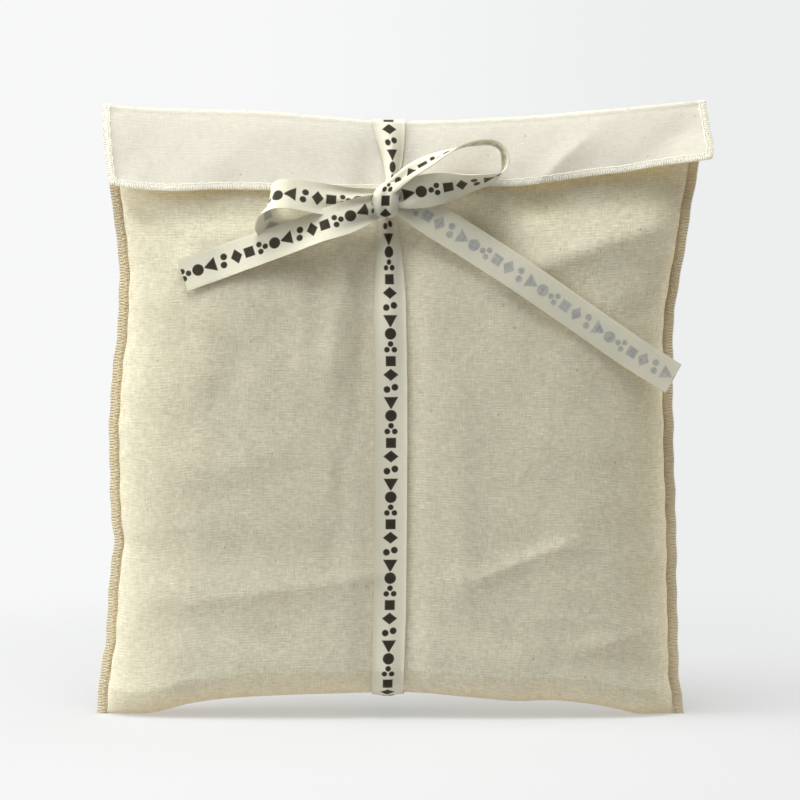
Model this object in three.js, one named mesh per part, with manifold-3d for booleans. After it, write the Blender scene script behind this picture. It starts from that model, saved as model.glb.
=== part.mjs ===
// A flat envelope pouch of unbleached cotton, filled like a thin cushion, and the cotton tape
// that ties it shut with a bow. Millimetres, +Z up, front towards -Y, standing on its bottom fold.
import * as THREE from "three";
import { mergeVertices } from "three/addons/utils/BufferGeometryUtils.js";
import Module from "manifold-3d";

const wasm = await Module();
wasm.setup();

// Driving dimensions.
const CLOTH = 1.2; // thickness of the cloth as a solid
const SEAM = 4.5; // width of the overlocked seam that stands out at each side
const SEAM_HALF = 1.0; // half the thickness of that seam
const HEIGHT = 278; // nominal height of the top fold over the bottom fold
const MOUTH = 262; // height of the front panel's top edge, under the flap
const FOLD_RADIUS = 2.4; // outer radius of the top fold
const BACK_FLATNESS = 0.94; // the back bulges a little less than the front
const TAPE = 15; // width of the tying tape
const TAPE_THICK = 1.0;
const TAPE_GAP = 0.6; // between the tape and the cloth under it

// Outer edges of the two side seams, by height.
const SIDES = [
  { at: 0, left: -141.5, right: 130.5 },
  { at: 8, left: -141, right: 129.5 },
  { at: 19, left: -139.4, right: 127.6 },
  { at: 34, left: -137, right: 127.4 },
  { at: 63, left: -135, right: 126.5 },
  { at: 80, left: -132.6, right: 126.2 },
  { at: 93, left: -134.2, right: 126 },
  { at: 122, left: -134.8, right: 124.8 },
  { at: 152, left: -133.4, right: 124 },
  { at: 181, left: -130.4, right: 124.7 },
  { at: 203, left: -129.4, right: 127.8 },
  { at: 218, left: -130.6, right: 130.2 },
  { at: 233, left: -132.8, right: 132.6 },
  { at: 247, left: -134, right: 135 },
  { at: 262, left: -135.4, right: 137 },
  { at: 280, left: -136.6, right: 139.4 },
];

// Rise of the bottom fold off the surface: it stands on its two corners.
const ARCH = [
  { at: -145, rise: 0 },
  { at: -116, rise: 0 },
  { at: -108, rise: 2.2 },
  { at: -96, rise: 6.2 },
  { at: -74, rise: 9.2 },
  { at: -35, rise: 11.2 },
  { at: 0, rise: 11.6 },
  { at: 33, rise: 9 },
  { at: 54, rise: 7.4 },
  { at: 67, rise: 7.9 },
  { at: 84, rise: 6.2 },
  { at: 100, rise: 2.4 },
  { at: 107, rise: 0 },
  { at: 135, rise: 0 },
];

// Height of the top fold, which sags under the tape, and of the flap's lower edge.
const TOP = [
  { at: -142, fold: 281.4, hem: 246.6 },
  { at: -110, fold: 279.4, hem: 242.6 },
  { at: -64, fold: 278, hem: 243 },
  { at: -30, fold: 275.2, hem: 242.2 },
  { at: -6, fold: 273.4, hem: 242 },
  { at: 20, fold: 274, hem: 243.6 },
  { at: 54, fold: 275.6, hem: 245.2 },
  { at: 97, fold: 279.2, hem: 250.6 },
  { at: 125, fold: 281.8, hem: 255 },
  { at: 145, fold: 283.6, hem: 257.2 },
];

// How far the flap's side edges reach, from the fold (0) to its hem (1).
const FLAP_SIDES = [
  { at: 0, left: -136.6, right: 139.6, flare: 0 },
  { at: 0.45, left: -135.6, right: 139, flare: 1.5 },
  { at: 0.8, left: -134, right: 142.4, flare: 4 },
  { at: 1, left: -132.6, right: 141.4, flare: 5 },
];

// Half the depth of the filled pouch at its middle, by height, and how square its sides are.
const DEPTHS = [
  { at: 20, depth: 19.4, square: 4.6 },
  { at: 60, depth: 20.6, square: 5.6 },
  { at: 110, depth: 21.6, square: 6 },
  { at: 160, depth: 20.8, square: 6 },
  { at: 200, depth: 19.2, square: 5.2 },
  { at: 225, depth: 15.6, square: 4.4 },
  { at: 241, depth: 11.6, square: 3.8 },
  { at: 252, depth: 8.4, square: 3.4 },
  { at: 262, depth: 5.6, square: 3 },
  { at: 280, depth: 2.4, square: 3 },
];

// The turn of the cloth under the bottom fold: its middle is flat where it stands.
const BOTTOM_TURN = [
  { lift: 0, depth: 7.5, seamLift: 1.6 },
  { lift: 0, depth: 16, seamLift: 3.6 },
  { lift: 4, depth: 18.2, seamLift: 7 },
  { lift: 11, depth: 19, seamLift: 12 },
];
const TURN_SQUARE = 5;

// Soft folds of the front: from, to, half width and height of each ridge (or trough).
const FRONT_FOLDS = [
  { x0: -112, z0: 58, x1: -18, z1: 62, wide: 10, high: 1.7 },
  { x0: -108, z0: 76, x1: -40, z1: 78, wide: 9, high: -1.1 },
  { x0: 30, z0: 65, x1: 74, z1: 79, wide: 8, high: 1.5 },
  { x0: 84, z0: 33, x1: 118, z1: 41, wide: 6, high: 1.4 },
  { x0: 70, z0: 24, x1: 108, z1: 26, wide: 7, high: -1.2 },
  { x0: 48, z0: 205, x1: 112, z1: 224, wide: 8, high: 1.8 },
  { x0: 62, z0: 192, x1: 110, z1: 206, wide: 8, high: -1.2 },
  { x0: -24, z0: 208, x1: -30, z1: 165, wide: 8, high: 1.3 },
  { x0: -21, z0: 184, x1: -30, z1: 72, wide: 6, high: -1.1 },
  { x0: 24, z0: 150, x1: 28, z1: 60, wide: 8, high: 0.8 },
  { x0: -112, z0: 226, x1: -66, z1: 229, wide: 9, high: -1.6 },
  { x0: -34, z0: 222, x1: -62, z1: 214, wide: 9, high: -1.4 },
];

// Soft folds of the back, which nothing but the tape touches.
const BACK_FOLDS = [
  { x0: 96, z0: 66, x1: 20, z1: 58, wide: 10, high: 1.5 },
  { x0: -30, z0: 74, x1: -92, z1: 88, wide: 10, high: 1.4 },
  { x0: -36, z0: 214, x1: -104, z1: 226, wide: 9, high: 1.6 },
  { x0: 22, z0: 210, x1: 30, z1: 120, wide: 8, high: -1.2 },
  { x0: 108, z0: 214, x1: 52, z1: 222, wide: 9, high: -1.4 },
  { x0: -34, z0: 150, x1: -30, z1: 60, wide: 8, high: 1 },
];

// The flap's one standing crease, and the dip between it and the tape.
const FLAP_FOLDS = [
  { x0: 62, z0: 246, x1: 86, z1: 268, wide: 6, high: 1.3 },
  { x0: 30, z0: 247, x1: 48, z1: 266, wide: 8, high: -0.9 },
  { x0: -96, z0: 246, x1: -70, z1: 268, wide: 9, high: 0.8 },
];

// The tape pulls a flat-bottomed valley round the pouch, deepest at the knot.
const VALLEY = { x: -6, wide: 15, deep: 1.8 };
const KNOT = { x: -7.2, y: -17.6, z: 237.4, wide: 5.6, tall: 9.8, deep: 6, dent: 1.6, dentWide: 26 };

// Middle of the tape and its width where it goes up the front, by height.
const FRONT_TAPE = [
  { at: 0, x: -7.2, wide: 14.4 },
  { at: 60, x: -5.6, wide: 15 },
  { at: 140, x: -5.1, wide: 15 },
  { at: 192, x: -5.5, wide: 14.4 },
  { at: 216, x: -6, wide: 11 },
  { at: 232, x: -7, wide: 8.4 },
];

// The same on the flap, from its hem (0) to the top fold (1), and then on down the back.
const FLAP_TAPE = [
  { at: 0, x: -7.2, wide: 9 },
  { at: 0.4, x: -6.8, wide: 12.6 },
  { at: 1, x: -6.3, wide: 15 },
];

// Each free run of the tape: the middle of the tape, the direction across it, and its width.
const LEFT_TAIL = [
  { x: -6, y: -21.4, z: 237, ax: 0.1, ay: 0, az: 1, wide: 9 },
  { x: -13, y: -24.6, z: 234.6, ax: 0.15, ay: 0.1, az: 1, wide: 12.4 },
  { x: -32, y: -25.8, z: 227.6, ax: 0.28, ay: 0.4, az: 1, wide: 14.6 },
  { x: -56, y: -25, z: 219, ax: 0.32, ay: 0.45, az: 1, wide: 15 },
  { x: -80, y: -23.6, z: 210.6, ax: 0.36, ay: 0.4, az: 1, wide: 15 },
  { x: -98.5, y: -22.8, z: 204, ax: 0.5, ay: 0.3, az: 1, wide: 15 },
];
const RIGHT_TAIL = [
  { x: -7, y: -19.4, z: 238, ax: 0.2, ay: 0, az: 1, wide: 9 },
  { x: 2, y: -20.4, z: 236, ax: 0.6, ay: 0, az: 1, wide: 13.6 },
  { x: 14, y: -21, z: 229, ax: 0.65, ay: 0, az: 1, wide: 15.4 },
  { x: 32, y: -21.6, z: 217.8, ax: 0.63, ay: 0.1, az: 1, wide: 15.4 },
  { x: 54, y: -22.2, z: 203.6, ax: 0.62, ay: 0.1, az: 1, wide: 15.2 },
  { x: 78, y: -22.6, z: 187, ax: 0.62, ay: 0.15, az: 1, wide: 15 },
  { x: 102, y: -22.4, z: 170.4, ax: 0.64, ay: 0.4, az: 1, wide: 15 },
  { x: 123.4, y: -21.6, z: 156.8, ax: 0.7, ay: 0.6, az: 1, wide: 15 },
];
const LEFT_LOOP = [
  { x: -6, y: -21.4, z: 237.4, ax: 0, ay: 0, az: 1, wide: 9 },
  { x: -15, y: -21.8, z: 235.6, ax: 0.05, ay: 0.3, az: 1, wide: 10.4 },
  { x: -25, y: -23.4, z: 234.6, ax: 0.05, ay: 0.6, az: 1, wide: 13 },
  { x: -36, y: -25.6, z: 237, ax: 0.04, ay: 0.85, az: 1, wide: 15 },
  { x: -46, y: -27, z: 239.6, ax: 0, ay: 0.8, az: 1, wide: 15 },
  { x: -55, y: -27.2, z: 240.8, ax: 0.08, ay: 0.7, az: 1, wide: 15 },
  { x: -61.4, y: -26, z: 239.8, ax: 0.25, ay: 0.5, az: 1, wide: 15 },
  { x: -64.4, y: -23.2, z: 236.4, ax: 0.3, ay: 0.25, az: 1, wide: 15 },
  { x: -65, y: -20, z: 231.6, ax: 0.22, ay: 0.05, az: 1, wide: 15 },
  { x: -62, y: -18.2, z: 228.6, ax: 0.08, ay: 0, az: 1, wide: 15 },
  { x: -50, y: -17.8, z: 228.8, ax: 0, ay: 0, az: 1, wide: 15 },
  { x: -34, y: -18, z: 231.2, ax: -0.02, ay: 0, az: 1, wide: 13.6 },
  { x: -18, y: -18.6, z: 234, ax: 0, ay: 0, az: 1, wide: 11 },
  { x: -7, y: -19.4, z: 236.6, ax: 0, ay: 0, az: 1, wide: 9 },
];
const RIGHT_LOOP = [
  { x: -7.4, y: -22, z: 237, ax: -0.1, ay: 0, az: 1, wide: 10 },
  { x: -1, y: -23.4, z: 237.6, ax: -0.05, ay: -0.1, az: 1, wide: 15 },
  { x: 9, y: -24, z: 239.6, ax: -0.05, ay: -0.2, az: 1, wide: 15.2 },
  { x: 18, y: -24.4, z: 242, ax: -0.04, ay: -0.4, az: 1, wide: 15 },
  { x: 30, y: -24.6, z: 245.6, ax: 0, ay: -1.5, az: 1, wide: 15 },
  { x: 39, y: -24.4, z: 247.6, ax: 0.1, ay: -2.6, az: 1, wide: 15 },
  { x: 44.6, y: -24.2, z: 250.4, ax: 0.4, ay: -4, az: 0.6, wide: 15 },
  { x: 46.2, y: -24, z: 255.6, ax: 0.8, ay: -4, az: 0.1, wide: 15 },
  { x: 44.8, y: -23.8, z: 260.8, ax: 0.6, ay: -4, az: 0.4, wide: 15 },
  { x: 39.6, y: -23.6, z: 263.6, ax: 0.2, ay: -4, az: 0.7, wide: 15 },
  { x: 30, y: -23.4, z: 262.6, ax: 0, ay: -4, az: 0.5, wide: 15 },
  { x: 20.8, y: -23.2, z: 259.4, ax: 0.2, ay: -4, az: -0.4, wide: 14.6 },
  { x: 11.6, y: -22.8, z: 255, ax: 0.5, ay: -3.2, az: -1.3, wide: 12.6 },
  { x: 3, y: -22.4, z: 250, ax: 0.8, ay: -2.2, az: -1.6, wide: 9.6 },
  { x: -5.6, y: -21.4, z: 242.6, ax: 0.8, ay: -1.4, az: -1.4, wide: 8 },
];
const RUN_STEPS = 3; // strips between two rows of such a table

// Grid of the cloth.
const HALF_COLUMNS = 16; // columns of cloth from the middle to a side seam
const COLUMN_CROWDING = 1.4; // above 1, they stand closer near the seams
const PANEL_ROWS = 26; // rows of a panel from its bottom turn to the mouth
const RISE_ROWS = 2; // rows of the back from the mouth to the top fold
const FOLD_ROWS = 4; // rows round the top fold
const FLAP_ROWS = 5; // rows down the flap

// A smooth curve through one column of a table.
function curve(rows, column) {
  const slope = (a, b) => (rows[b][column] - rows[a][column]) / (rows[b].at - rows[a].at);
  const last = rows.length - 1;
  const slopes = rows.map((row, k) => {
    if (k === 0) return slope(0, 1);
    if (k === last) return slope(last - 1, last);
    const before = slope(k - 1, k);
    const after = slope(k, k + 1);
    return before * after <= 0 ? 0 : (2 * before * after) / (before + after);
  });
  return (at) => {
    if (at <= rows[0].at) return rows[0][column];
    if (at >= rows[last].at) return rows[last][column];
    let k = 0;
    while (rows[k + 1].at < at) k += 1;
    const span = rows[k + 1].at - rows[k].at;
    const t = (at - rows[k].at) / span;
    const t2 = t * t;
    const t3 = t2 * t;
    return (2 * t3 - 3 * t2 + 1) * rows[k][column] + (t3 - 2 * t2 + t) * span * slopes[k]
      + (3 * t2 - 2 * t3) * rows[k + 1][column] + (t3 - t2) * span * slopes[k + 1];
  };
}

const mix = (a, b, t) => a + (b - a) * t;
const leftSeam = curve(SIDES, "left");
const rightSeam = curve(SIDES, "right");
const archRise = curve(ARCH, "rise");
const foldHeight = curve(TOP, "fold");
const hemHeight = curve(TOP, "hem");
const halfDepth = curve(DEPTHS, "depth");
const squareness = curve(DEPTHS, "square");
const flapLeft = curve(FLAP_SIDES, "left");
const flapRight = curve(FLAP_SIDES, "right");
const flapFlare = curve(FLAP_SIDES, "flare");

// Height of a table of soft ridges at one place on the pouch.
function ridges(folds, x, z) {
  let high = 0;
  for (const fold of folds) {
    const dx = fold.x1 - fold.x0;
    const dz = fold.z1 - fold.z0;
    const long = Math.hypot(dx, dz);
    const along = ((x - fold.x0) * dx + (z - fold.z0) * dz) / long;
    const beside = ((x - fold.x0) * dz - (z - fold.z0) * dx) / long;
    const past = Math.max(0, -along, along - long);
    high += fold.high * Math.exp(-((beside / fold.wide) ** 2) - (past / (1.6 * fold.wide)) ** 2);
  }
  return high;
}

// How deep the tape presses the cloth in at one place, and the knot on the front.
const valley = (x) => VALLEY.deep * Math.exp(-(((x - VALLEY.x) / VALLEY.wide) ** 4));
const dent = (x, z) => KNOT.dent
  * Math.exp(-((x - KNOT.x) ** 2 + (z - KNOT.z) ** 2) / KNOT.dentWide ** 2);

// Fullness across the width: 1 over the flat middle, 0 at a side seam.
const fullness = (u, square) => Math.sqrt(1 - Math.min(1, Math.abs(u)) ** square);

// A place on a panel: u from seam to seam (past 1 on the seam's fin), height, side -1 or 1.
function panelPoint(u, height, side, turn) {
  const left = leftSeam(height) + SEAM;
  const right = rightSeam(height) - SEAM;
  const beyond = Math.max(0, Math.abs(u) - 1);
  const inside = Math.max(-1, Math.min(1, u));
  const x = mix(left, right, (inside + 1) / 2) + Math.sign(u) * beyond * SEAM;
  const share = height / HEIGHT;
  const z = height + (1 - share) * archRise(x) + share * (foldHeight(x) - HEIGHT);
  const middle = turn ? turn.depth : halfDepth(height);
  const full = fullness(u, turn ? TURN_SQUARE : squareness(height));
  const folds = side < 0 ? ridges(FRONT_FOLDS, x, z) - dent(x, z) : ridges(BACK_FOLDS, x, z);
  const flat = side < 0 ? 1 : BACK_FLATNESS;
  const shaped = turn ? 0 : (folds - valley(x)) * full;
  const depth = mix(SEAM_HALF, middle * flat, full) + shaped;
  return new THREE.Vector3(x, side * depth, z);
}

// Depth of the flap's outer face over the front panel that it covers.
function flapPoint(u, share) {
  const beyond = Math.max(0, Math.abs(u) - 1);
  const inside = Math.max(-1, Math.min(1, u));
  const half = mix(flapLeft(share) + SEAM, flapRight(share) - SEAM, (inside + 1) / 2);
  const x = half + Math.sign(u) * beyond * SEAM;
  const top = foldHeight(x) - FOLD_RADIUS;
  const z = mix(top, hemHeight(x), share);
  const height = HEIGHT - (foldHeight(x) - z);
  const stiff = 1 - 0.32 * Math.min(1, Math.abs(u)) ** 4;
  const clear = mix(FOLD_RADIUS, halfDepth(height) + CLOTH + 1.3 + 1.1 * share, Math.min(1, 3 * share));
  const corner = Math.max(0, inside) ** 6 * flapFlare(share) + Math.max(0, -inside) ** 8 * share * 1.5;
  const shaped = ridges(FLAP_FOLDS, x, z) * share - valley(x) * Math.min(1, 2 * share);
  return new THREE.Vector3(x, -(clear * stiff + corner + shaped), z);
}

// One row of the cloth strip as a function of u, in the order in which the strip runs:
// down the front, under the bottom fold, up the back, over the top fold and down the flap.
function stripRows() {
  const heights = [];
  const start = BOTTOM_TURN.at(-1).lift;
  for (let k = 1; k <= PANEL_ROWS; k += 1) heights.push(mix(start, MOUTH, k / PANEL_ROWS));
  const panel = (side) => heights.map((height) => (u) => panelPoint(u, height, side));
  const turn = (side) => BOTTOM_TURN.map((row) => (u) => {
    const seamShare = Math.max(0, Math.abs(u) - 0.97) / 0.03;
    const lift = mix(row.lift, row.seamLift, Math.min(1, seamShare));
    return panelPoint(u, lift, side, row);
  });
  const bottom = (u) => panelPoint(u, 0, -1, { depth: 0 }).setY(0);
  const rise = [];
  for (let k = 1; k <= RISE_ROWS; k += 1) {
    const height = mix(MOUTH, HEIGHT - FOLD_RADIUS, k / (RISE_ROWS + 0.4));
    rise.push((u) => panelPoint(u, height, 1));
  }
  const over = [];
  for (let k = 0; k < FOLD_ROWS; k += 1) {
    const angle = (Math.PI * k) / FOLD_ROWS;
    over.push((u) => {
      const p = flapPoint(u, 0);
      const turnTop = foldHeight(p.x) - FOLD_RADIUS;
      return p.set(p.x, FOLD_RADIUS * Math.cos(angle), turnTop + FOLD_RADIUS * Math.sin(angle));
    });
  }
  const flap = [];
  for (let k = 0; k <= FLAP_ROWS; k += 1) flap.push((u) => flapPoint(u, k / FLAP_ROWS));
  return {
    rows: [...panel(-1).reverse(), ...turn(-1).reverse(), bottom, ...turn(1), ...panel(1),
      ...rise, ...over, ...flap],
    middle: PANEL_ROWS + BOTTOM_TURN.length,
    hem: FLAP_ROWS,
  };
}

const strip = stripRows();

// Places of the cloth's columns across the strip: the seam fins are the parts past 1.
function columnPlaces() {
  const half = [];
  for (let k = 1; k <= HALF_COLUMNS; k += 1) {
    half.push(1 - (1 - k / HALF_COLUMNS) ** COLUMN_CROWDING);
  }
  half.push(2);
  return [...half.map((u) => -u).reverse(), 0, ...half];
}

// The whole cloth as one closed sheet of even thickness. Front and back share their inner
// corners in the side seams, where the two layers are sewn into one.
function pouchGeometry() {
  const places = columnPlaces();
  const across = places.length;
  const down = strip.rows.length;
  const sewn = 2 * strip.middle;
  const outer = strip.rows.map((row) => places.map((u) => row(u)));
  const pick = (j, i) => outer[Math.max(0, Math.min(down - 1, j))][Math.max(0, Math.min(across - 1, i))];
  const inSeam = (i) => i <= 1 || i >= across - 2;
  const positions = outer.flat().map((p) => [p.x, p.y, p.z]);
  const innerIndex = [];
  for (let j = 0; j < down; j += 1) {
    innerIndex.push([]);
    for (let i = 0; i < across; i += 1) {
      if (inSeam(i) && j > strip.middle && j <= sewn) {
        innerIndex[j].push(innerIndex[sewn - j][i]);
        continue;
      }
      const p = outer[j][i];
      const alongRow = pick(j, i + 1).clone().sub(pick(j, i - 1));
      const alongStrip = pick(j + 1, i).clone().sub(pick(j - 1, i));
      const inward = alongRow.cross(alongStrip).normalize().multiplyScalar(CLOTH);
      const inner = p.clone().add(inward);
      if (inSeam(i) && j <= strip.middle) inner.set(p.x, 0, p.z + (j > strip.middle - 4 ? CLOTH : 0));
      if (!inSeam(i) && j < strip.middle) inner.y = Math.min(inner.y, -0.2);
      if (!inSeam(i) && j > strip.middle && j <= sewn) inner.y = Math.max(inner.y, 0.2);
      innerIndex[j].push(positions.length);
      positions.push([inner.x, inner.y, inner.z]);
    }
  }
  const index = [];
  const quad = (a, b, c, d) => index.push(a, b, c, a, c, d);
  const out = (j, i) => j * across + i;
  for (let j = 0; j < down - 1; j += 1) {
    for (let i = 0; i < across - 1; i += 1) {
      quad(out(j, i), out(j + 1, i), out(j + 1, i + 1), out(j, i + 1));
      const fin = i === 0 || i === across - 2;
      if (fin && j < sewn) continue;
      quad(innerIndex[j][i], innerIndex[j][i + 1], innerIndex[j + 1][i + 1], innerIndex[j + 1][i]);
    }
    const end = across - 1;
    quad(out(j + 1, 0), out(j, 0), innerIndex[j][0], innerIndex[j + 1][0]);
    quad(out(j, end), out(j + 1, end), innerIndex[j + 1][end], innerIndex[j][end]);
  }
  const last = down - 1;
  for (let i = 0; i < across - 1; i += 1) {
    quad(out(0, i), out(0, i + 1), innerIndex[0][i + 1], innerIndex[0][i]);
    quad(out(last, i + 1), out(last, i), innerIndex[last][i], innerIndex[last][i + 1]);
  }
  return closedGeometry(positions, index);
}

// A geometry from points and triangles, with its shared points merged and unused ones dropped.
function closedGeometry(positions, index) {
  const used = [...new Set(index)];
  const place = new Map(used.map((old, k) => [old, k]));
  const geometry = new THREE.BufferGeometry();
  const flat = used.flatMap((old) => positions[old]);
  geometry.setAttribute("position", new THREE.Float32BufferAttribute(flat, 3));
  geometry.setIndex(index.map((old) => place.get(old)));
  return geometry;
}

// A flat strip through rows of two edge points and an outward direction; a ring if it closes.
function tapeStrip(rows, closes) {
  const positions = [];
  for (const { a, b, out } of rows) {
    const thick = out.clone().multiplyScalar(TAPE_THICK);
    for (const p of [a, b, b.clone().add(thick), a.clone().add(thick)]) positions.push([p.x, p.y, p.z]);
  }
  const index = [];
  const count = rows.length;
  const quad = (a, b, c, d) => index.push(a, b, c, a, c, d);
  for (let k = 0; k < (closes ? count : count - 1); k += 1) {
    const from = 4 * k;
    const to = 4 * ((k + 1) % count);
    for (let side = 0; side < 4; side += 1) {
      const next = (side + 1) % 4;
      quad(from + side, from + next, to + next, to + side);
    }
  }
  if (!closes) {
    const end = 4 * (count - 1);
    quad(3, 2, 1, 0);
    quad(end, end + 1, end + 2, end + 3);
  }
  return solidOf(closedGeometry(positions, index));
}

// The tape's tight turn round the pouch, laid on the cloth row by row.
function bandRows() {
  const xAt = curve(FRONT_TAPE, "x");
  const wideAt = curve(FRONT_TAPE, "wide");
  const flapX = curve(FLAP_TAPE, "x");
  const flapWide = curve(FLAP_TAPE, "wide");
  const flapTop = strip.rows.length - 1 - strip.hem;
  const rows = [];
  strip.rows.forEach((row, j) => {
    const height = row(0).z;
    const front = j < strip.middle;
    if (front && height > FRONT_TAPE.at(-1).at) return;
    const share = Math.max(0, Math.min(1, 1 - (j - flapTop) / strip.hem));
    const x = front ? xAt(height) : flapX(share);
    const wide = front ? wideAt(height) : flapWide(share);
    const at = (target) => {
      let low = -1;
      let high = 1;
      for (let step = 0; step < 30; step += 1) {
        const middle = (low + high) / 2;
        if (row(middle).x < target) low = middle;
        else high = middle;
      }
      return low;
    };
    const ua = at(x - wide / 2);
    const ub = at(x + wide / 2);
    const before = strip.rows[Math.max(0, j - 1)];
    const after = strip.rows[Math.min(strip.rows.length - 1, j + 1)];
    const a = row(ua);
    const b = row(ub);
    const um = (ua + ub) / 2;
    const out = after(um).sub(before(um)).cross(b.clone().sub(a)).normalize();
    const lift = out.clone().multiplyScalar(TAPE_GAP);
    rows.push({ a: a.add(lift), b: b.add(lift), out });
  });
  return rows;
}

// A free run of the tape through the rows of its table, smoothed and of even thickness.
function freeRun(table) {
  const points = (columns) => table.map((row) => new THREE.Vector3(...columns.map((name) => row[name])));
  const middle = new THREE.CatmullRomCurve3(points(["x", "y", "z"]), false, "centripetal");
  const across = points(["ax", "ay", "az"]).map((v) => v.normalize());
  const rows = [];
  const steps = (table.length - 1) * RUN_STEPS;
  for (let k = 0; k <= steps; k += 1) {
    const at = k / RUN_STEPS;
    const from = Math.min(table.length - 2, Math.floor(at));
    const t = at - from;
    const eased = t * t * (3 - 2 * t);
    const p = middle.getPoint(k / steps);
    const along = middle.getTangent(k / steps);
    const side = across[from].clone().lerp(across[from + 1], eased);
    side.addScaledVector(along, -side.dot(along)).normalize();
    const half = mix(table[from].wide, table[from + 1].wide, eased) / 2;
    const out = side.clone().cross(along).normalize();
    const base = p.clone().addScaledVector(out, -TAPE_THICK / 2);
    rows.push({
      a: base.clone().addScaledVector(side, -half),
      b: base.clone().addScaledVector(side, half),
      out,
    });
  }
  return tapeStrip(rows, false);
}

// A manifold solid from a closed geometry, turned right side out if need be, and back again.
function solidOf(geometry) {
  const plain = geometry.clone();
  for (const name of ["normal", "uv"]) plain.deleteAttribute(name);
  const merged = mergeVertices(plain, 1e-4);
  const vertProperties = new Float32Array(merged.attributes.position.array);
  const triVerts = new Uint32Array(merged.index.array);
  let volume = 0;
  const at = (k) => new THREE.Vector3().fromArray(vertProperties, 3 * k);
  for (let k = 0; k < triVerts.length; k += 3) {
    volume += at(triVerts[k]).dot(at(triVerts[k + 1]).cross(at(triVerts[k + 2])));
  }
  if (volume < 0) triVerts.reverse();
  return new wasm.Manifold(new wasm.Mesh({ numProp: 3, vertProperties, triVerts }));
}

function geometryOf(solid) {
  const { vertProperties, triVerts } = solid.getMesh();
  const geometry = new THREE.BufferGeometry();
  geometry.setAttribute("position", new THREE.BufferAttribute(new Float32Array(vertProperties), 3));
  geometry.setIndex(new THREE.BufferAttribute(new Uint32Array(triVerts), 1));
  return geometry;
}

// The tape as one piece: the turn round the pouch, two loops, two ends and the knot between.
function tapeGeometry() {
  const knot = new THREE.SphereGeometry(1, 14, 10);
  knot.scale(KNOT.wide, KNOT.deep, KNOT.tall);
  knot.translate(KNOT.x, KNOT.y, KNOT.z);
  let solid = tapeStrip(bandRows(), true).add(solidOf(knot));
  for (const table of [LEFT_TAIL, RIGHT_TAIL, LEFT_LOOP, RIGHT_LOOP]) solid = solid.add(freeRun(table));
  return geometryOf(solid);
}

const cotton = new THREE.MeshStandardMaterial({ color: 0xe6dfc9, roughness: 0.95, metalness: 0 });
const printedTape = new THREE.MeshStandardMaterial({ color: 0xf1eee4, roughness: 0.85, metalness: 0 });

const pouch = new THREE.Group();
const addPiece = (name, geometry, material) => {
  const mesh = new THREE.Mesh(geometry, material);
  mesh.name = name;
  pouch.add(mesh);
};
addPiece("pouch_cloth", pouchGeometry(), cotton);
addPiece("tying_tape", tapeGeometry(), printedTape);

// The origin is under the middle of the whole object, on the surface that it stands on.
const bounds = new THREE.Box3().setFromObject(pouch);
const middle = bounds.getCenter(new THREE.Vector3());
pouch.position.set(-middle.x, -middle.y, -bounds.min.z);

export default pouch;
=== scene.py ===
import math

import bpy
import numpy as np
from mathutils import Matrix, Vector


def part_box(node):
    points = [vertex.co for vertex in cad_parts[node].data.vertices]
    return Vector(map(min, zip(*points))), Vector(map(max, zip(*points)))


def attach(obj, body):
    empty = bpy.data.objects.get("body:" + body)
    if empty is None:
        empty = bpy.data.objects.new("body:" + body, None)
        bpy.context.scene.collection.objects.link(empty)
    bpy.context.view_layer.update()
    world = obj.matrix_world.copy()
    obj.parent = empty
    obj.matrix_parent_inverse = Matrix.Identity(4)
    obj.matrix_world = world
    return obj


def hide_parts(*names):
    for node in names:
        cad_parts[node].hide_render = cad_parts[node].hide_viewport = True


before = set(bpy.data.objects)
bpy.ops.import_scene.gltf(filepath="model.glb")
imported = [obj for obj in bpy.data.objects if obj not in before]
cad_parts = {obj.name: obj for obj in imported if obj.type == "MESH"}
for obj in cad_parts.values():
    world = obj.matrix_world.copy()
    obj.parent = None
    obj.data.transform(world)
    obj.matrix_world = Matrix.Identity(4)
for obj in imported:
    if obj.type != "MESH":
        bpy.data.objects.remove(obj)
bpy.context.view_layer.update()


# Viewpoint. A long lens looks straight at the front from a little above the middle, so the sides
# stay upright. The picture is square, and each of its 800 pixels covers 0.46 mm of the pouch.
MM = 0.001  # the tables below are in millimetres, Blender's meshes in metres
PICTURE_PIXELS = 800
PIXEL = 0.46 * MM
DISTANCE = 1.55
LOOKING_DOWN = math.radians(4.5)
SENSOR_MM = 36
AIM = Vector((-0.94, 5.3, 145.6)) * MM

scene = bpy.context.scene
lens = bpy.data.cameras.new("front_view")
lens.sensor_width = SENSOR_MM
lens.lens = SENSOR_MM * DISTANCE / (PICTURE_PIXELS * PIXEL)
camera = bpy.data.objects.new("front_view", lens)
camera.location = AIM + DISTANCE * Vector((0, -math.cos(LOOKING_DOWN), math.sin(LOOKING_DOWN)))
camera.rotation_euler = (math.pi / 2 - LOOKING_DOWN, 0, 0)
scene.collection.objects.link(camera)
scene.camera = camera
scene.view_settings.view_transform = "Standard"


# Studio light. Soft white lamps: a wide one overhead, a strong one at the left and a weak one at
# the right. The air itself is pale, a little less so at the right, and lights the rest.
LAMPS = [
    # name, place, width, watts
    ("overhead", (-0.1, -0.26, 1.15), 0.55, 11.4),
    ("left", (-1.4, -0.25, 0.65), 1, 25.5),
    ("right", (1.4, 0.4, 0.4), 1, 12),
]
AIR_LEFT, AIR_RIGHT = (0.93, 0.937, 0.935), (0.845, 0.86, 0.86)
AIR_TURN = -0.06, 0.1  # between which directions, as their X, it changes from left to right
AIR_LIGHT = 0.28  # how strongly the air lights things, next to how bright it looks
LAMP_AIM = Vector((0, 0, 0.14))

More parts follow.
